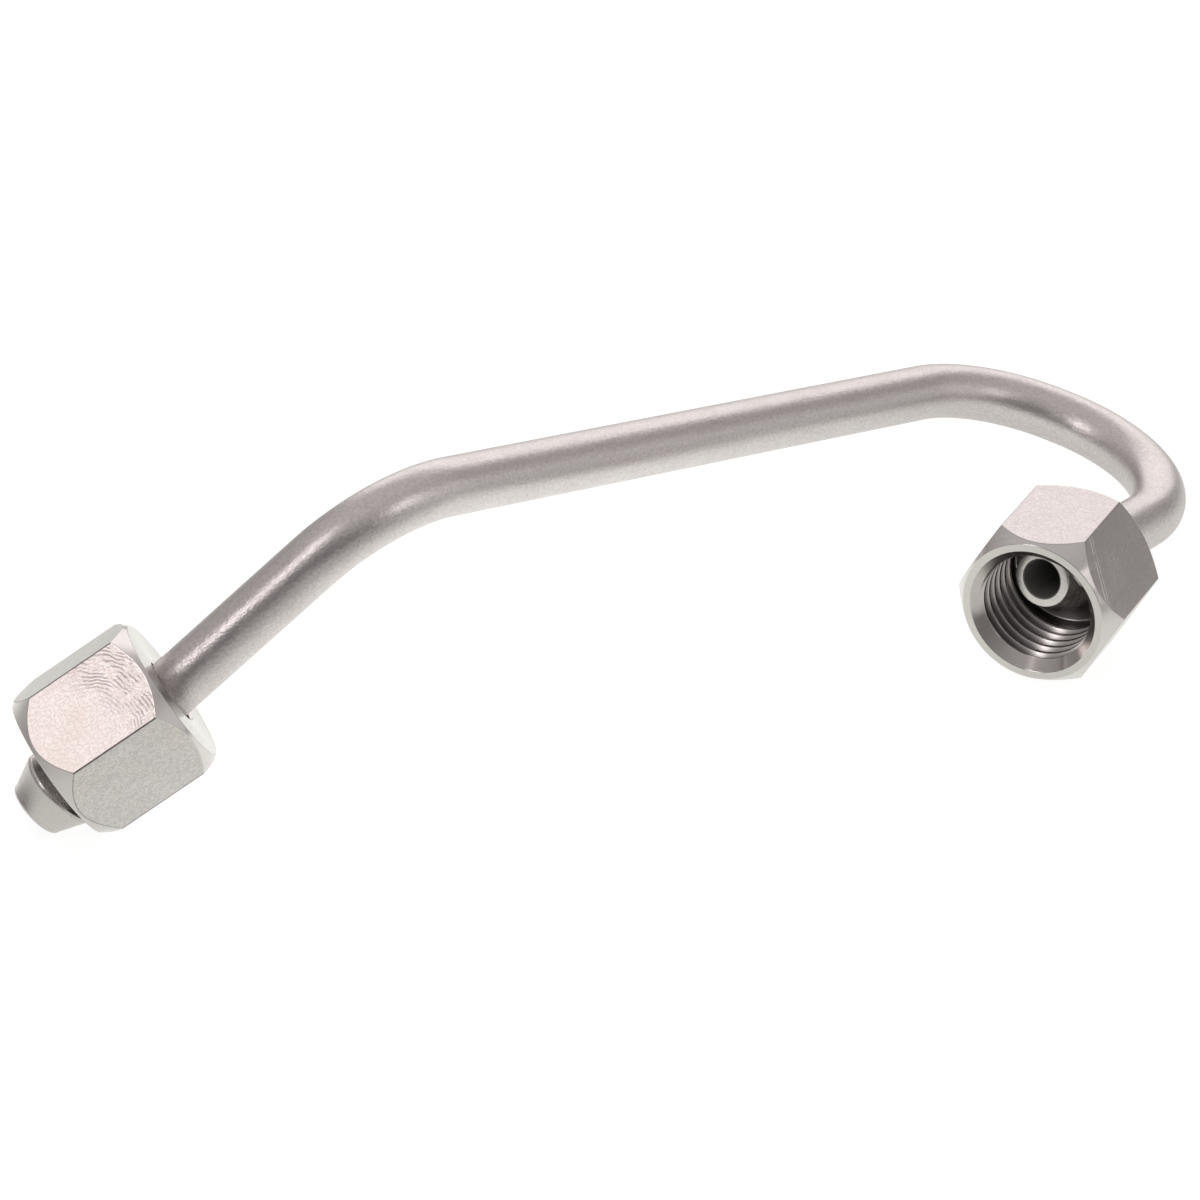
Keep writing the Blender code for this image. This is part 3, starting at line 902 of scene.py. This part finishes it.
# %% Table
def table_material():
    """Grey paint that takes the shadow, with a white glow for the camera and one for reflections.

    In reflections the table grows dimmer away from the line, as a lit table top does.
    """
    material = bpy.data.materials.new("white_table")
    material.use_nodes = True
    nodes, links = material.node_tree.nodes, material.node_tree.links
    nodes.remove(nodes["Principled BSDF"])
    paint = nodes.new("ShaderNodeBsdfDiffuse")
    paint.inputs["Color"].default_value = (0.34, 0.34, 0.34, 1)
    path = nodes.new("ShaderNodeLightPath")
    coordinates = nodes.new("ShaderNodeTexCoord")
    oval = nodes.new("ShaderNodeMapping")
    oval.inputs["Location"].default_value = (0.008, 0, 0)
    oval.inputs["Scale"].default_value = (0.6, 1, 1)
    links.new(coordinates.outputs["Object"], oval.inputs["Vector"])
    far = nodes.new("ShaderNodeVectorMath")
    far.operation = "LENGTH"
    links.new(oval.outputs["Vector"], far.inputs[0])
    fade = ramp(nodes, links, far.outputs["Value"], 0.97, 0.32, 0.02, 0.10)
    total = paint.outputs[0]
    glows = (("Is Camera Ray", 0.86, (1, 1, 1, 1)), ("Is Glossy Ray", fade, (0.98, 0.99, 0.94, 1)))
    for ray, level, colour in glows:
        glow = nodes.new("ShaderNodeEmission")
        glow.inputs["Color"].default_value = colour
        strength = nodes.new("ShaderNodeMath")
        strength.operation = "MULTIPLY"
        links.new(path.outputs[ray], strength.inputs[0])
        if isinstance(level, float):
            strength.inputs[1].default_value = level
        else:
            links.new(level, strength.inputs[1])
        links.new(strength.outputs[0], glow.inputs["Strength"])
        both = nodes.new("ShaderNodeAddShader")
        links.new(total, both.inputs[0])
        links.new(glow.outputs[0], both.inputs[1])
        total = both.outputs[0]
    links.new(total, nodes["Material Output"].inputs["Surface"])
    return material


def flat_board(name, corners, material):
    """One four-cornered board, given by its corners in metres."""
    mesh = bpy.data.meshes.new(name)
    mesh.from_pydata(corners, [], [(0, 1, 2, 3)])
    mesh.materials.append(material)
    board = bpy.data.objects.new(name, mesh)
    bpy.context.scene.collection.objects.link(board)
    return board


TABLE_HALF = 4
table_corners = [
    (-TABLE_HALF, -TABLE_HALF, 0), (TABLE_HALF, -TABLE_HALF, 0),
    (TABLE_HALF, TABLE_HALF, 0), (-TABLE_HALF, TABLE_HALF, 0),
]
table = flat_board("table", table_corners, table_material())
print(table.name, "is", 2 * TABLE_HALF, "m wide")

# %% [markdown]
# A studio isn't one even grey. Its ceiling is lighter than its walls, one wall is near a window and one
# is dark, and a bright tube shows all of that as bands along its length. A photograph of a room could
# give it, and so could boards round the table, but a world that blends four tones by direction is
# smooth and quick. The camera alone sees plain white behind the table.

# %% Studio
WALL_TONE = (0.38, 0.36, 0.355)
CEILING_TONE = (0.62, 0.595, 0.59)
CEILING_WAY = (-0.12, 0.2, 0.97)
DARK_WALL = (np.radians(-118), 0.2, 0.9, (0.19, 0.18, 0.18))
BRIGHT_WALL = (np.radians(-8), 0.82, 0.97, (0.78, 0.75, 0.745))


def studio_world():
    """Wall, dark wall, bright wall and ceiling tones, each let in by a dot product with its way."""
    world = bpy.data.worlds.new("studio")
    world.use_nodes = True
    nodes, links = world.node_tree.nodes, world.node_tree.links
    sky = nodes.new("ShaderNodeTexCoord").outputs["Generated"]
    tone = WALL_TONE
    for azimuth, edge, core, colour in (DARK_WALL, BRIGHT_WALL):
        toward = along(nodes, links, sky, (np.cos(azimuth), np.sin(azimuth), 0.1))
        tone = tint(nodes, links, ramp(nodes, links, toward, 0, 1, edge, core), tone, colour)
    overhead = along(nodes, links, sky, CEILING_WAY)
    tone = tint(nodes, links, ramp(nodes, links, overhead, 0, 1, 0.25, 0.85), tone, CEILING_TONE)
    room = nodes["Background"]
    links.new(tone, room.inputs["Color"])
    white = nodes.new("ShaderNodeBackground")
    white.inputs["Color"].default_value = (1, 1, 1, 1)
    path = nodes.new("ShaderNodeLightPath")
    seen = nodes.new("ShaderNodeMixShader")
    links.new(path.outputs["Is Camera Ray"], seen.inputs["Fac"])
    links.new(room.outputs[0], seen.inputs[1])
    links.new(white.outputs[0], seen.inputs[2])
    links.new(seen.outputs[0], nodes["World Output"].inputs["Surface"])
    return world


bpy.context.scene.world = studio_world()
print("the world is", bpy.context.scene.world.name)

# %% [markdown]
# Three area lamps stand for soft boxes: a wide one behind the line, which the tops of the nuts mirror,
# a smaller one on the right, and a narrow upright strip on the left of the camera, the key. Point lamps
# would give hard sparks on metal, where a soft box gives a clean band with soft edges. Each is set by
# how bright it looks in a mirror, because that is what the metal shows.

# %% Soft lights
def soft_light(name, azimuth, elevation, distance, width, height, level, colour):
    """A rectangular lamp that looks at the line. Its level is the brightness seen in a mirror."""
    across, up = np.radians(azimuth), np.radians(elevation)
    way = Vector((np.cos(up) * np.cos(across), np.cos(up) * np.sin(across), np.sin(up)))
    lamp = bpy.data.lights.new(name, "AREA")
    lamp.shape = "RECTANGLE"
    lamp.size, lamp.size_y = width, height
    lamp.energy = level * np.pi * width * height
    lamp.color = colour
    light = bpy.data.objects.new(name, lamp)
    facing = way.to_track_quat("Z", "Y").to_matrix().to_4x4()
    light.matrix_world = Matrix.Translation(way * distance) @ facing
    bpy.context.scene.collection.objects.link(light)
    print(f"{name}: {lamp.energy:.2f} W")
    return light


soft_light("back_light", 84, 21, 0.75, 0.82, 0.62, 0.88, (1.0, 0.955, 0.94))
soft_light("right_light", -38, 33, 0.75, 0.22, 0.32, 1.35, (1.0, 0.955, 0.945))
soft_light("key_light", -142, 37, 0.75, 0.08, 0.42, 5.7, (1.0, 0.95, 0.935))

# %% [markdown]
# The camera stands where the photo was taken from: in front, looking down at 33 degrees, with a long
# lens. Its place, angles and lens were fitted to the outline of the tube and the nuts.

# %% Camera
CAMERA_PLACE = Vector((-2.976, -485.765, 319.810)) * MM
CAMERA_ANGLES = np.radians((57.0699, 0.1397, -0.0926))
CAMERA_LENS = 155.67

lens = bpy.data.cameras.new("camera")
lens.lens = CAMERA_LENS
lens.sensor_width = 36.0
lens.clip_end = 20.0
camera = bpy.data.objects.new("camera", lens)
camera.location = CAMERA_PLACE
camera.rotation_euler = CAMERA_ANGLES
bpy.context.scene.collection.objects.link(camera)
bpy.context.scene.camera = camera
bpy.context.scene.view_settings.view_transform = "Standard"
print("camera at", [round(value, 4) for value in camera.location])

# %% [markdown]
# Last, the view layer is brought up to date.

# %% Update the view layer
bpy.context.view_layer.update()
